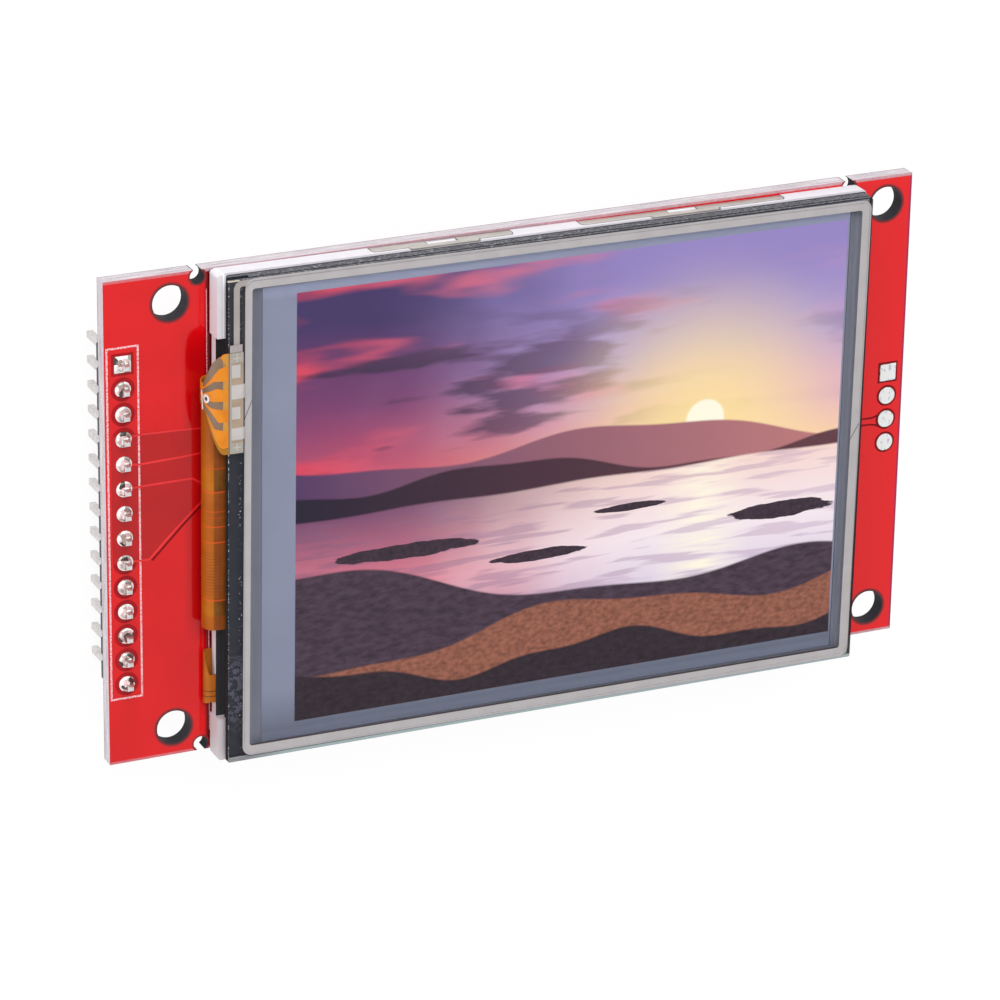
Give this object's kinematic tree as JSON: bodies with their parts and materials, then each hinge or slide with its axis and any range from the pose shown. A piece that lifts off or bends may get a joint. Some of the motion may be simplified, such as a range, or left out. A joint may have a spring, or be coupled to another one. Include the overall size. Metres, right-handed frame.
{
  "type": "tft display module",
  "caption": "Small colour display with a resistive touch panel on a red circuit board, with a pin header along one end and a memory card socket on the back.",
  "frame": {"origin": "centre of the four mounting holes, on the back face of the circuit board", "axes": "+Z is the way the display looks, +X runs along the board from the pin header to the other end, +Y is up when the header is on the left"},
  "size_m": [0.086, 0.0506, 0.0134],
  "materials": {
    "red_laminate": "glossy red solder mask on a glass-fibre board",
    "black_plastic": "moulded",
    "plated_pin": "tin plated",
    "solder": "smooth, slightly dull",
    "tape": "matt",
    "stamped_steel": "satin",
    "white_plastic": "satin",
    "white_film": "matt",
    "clear_plastic": "clear and polished",
    "clear_film": "clear, slightly hazy",
    "amber_flex": "amber film over copper",
    "lamp_body": "yellow phosphor in a white body",
    "dark_film": "smooth",
    "display_glass": "dark, polished",
    "silicon": "polished",
    "orange_flex": "amber film with conductive pads",
    "gold_contact": "gold plated",
    "chip_plastic": "moulded",
    "tinned_lead": "tin plated",
    "tan_ceramic": "sintered",
    "resistor_body": "glazed"
  },
  "bodies": {
    "root": {"circuit_board": "red_laminate", "header_strip": "black_plastic", "header_pin_01": "plated_pin", "header_pin_02": "plated_pin", "header_pin_03": "plated_pin", "header_pin_04": "plated_pin", "header_pin_05": "plated_pin", "header_pin_06": "plated_pin", "header_pin_07": "plated_pin", "header_pin_08": "plated_pin", "header_pin_09": "plated_pin", "header_pin_10": "plated_pin", "header_pin_11": "plated_pin", "header_pin_12": "plated_pin", "header_pin_13": "plated_pin", "header_pin_14": "plated_pin", "header_solder": "solder", "side_pad_solder": "solder", "display_tape": "tape", "rear_shield": "stamped_steel", "light_frame": "white_plastic", "reflector_sheet": "white_film", "light_guide": "clear_plastic", "diffuser_sheet": "white_film", "lower_prism_sheet": "clear_film", "upper_prism_sheet": "clear_film", "light_flex": "amber_flex", "backlight_led_1": "lamp_body", "backlight_led_2": "lamp_body", "backlight_led_3": "lamp_body", "backlight_led_4": "lamp_body", "rim_tape": "tape", "ledge_tape": "tape", "rear_polariser": "dark_film", "array_glass": "display_glass", "filter_glass": "display_glass", "front_polariser": "dark_film", "driver_chip": "silicon", "main_flex": "amber_flex", "touch_gasket": "tape", "touch_glass": "display_glass", "touch_film": "clear_film", "touch_tail": "orange_flex", "card_socket_shell": "stamped_steel", "card_socket_base": "black_plastic", "card_socket_contacts": "gold_contact", "touch_controller": "chip_plastic", "touch_controller_leads": "tinned_lead", "regulator": "chip_plastic", "regulator_leads": "tinned_lead", "transistor": "chip_plastic", "transistor_leads": "tinned_lead", "capacitor_1": "tan_ceramic", "capacitor_2": "tan_ceramic", "capacitor_3": "tan_ceramic", "capacitor_4": "tan_ceramic", "chip_resistors": "resistor_body"}
  },
  "joints": []
}
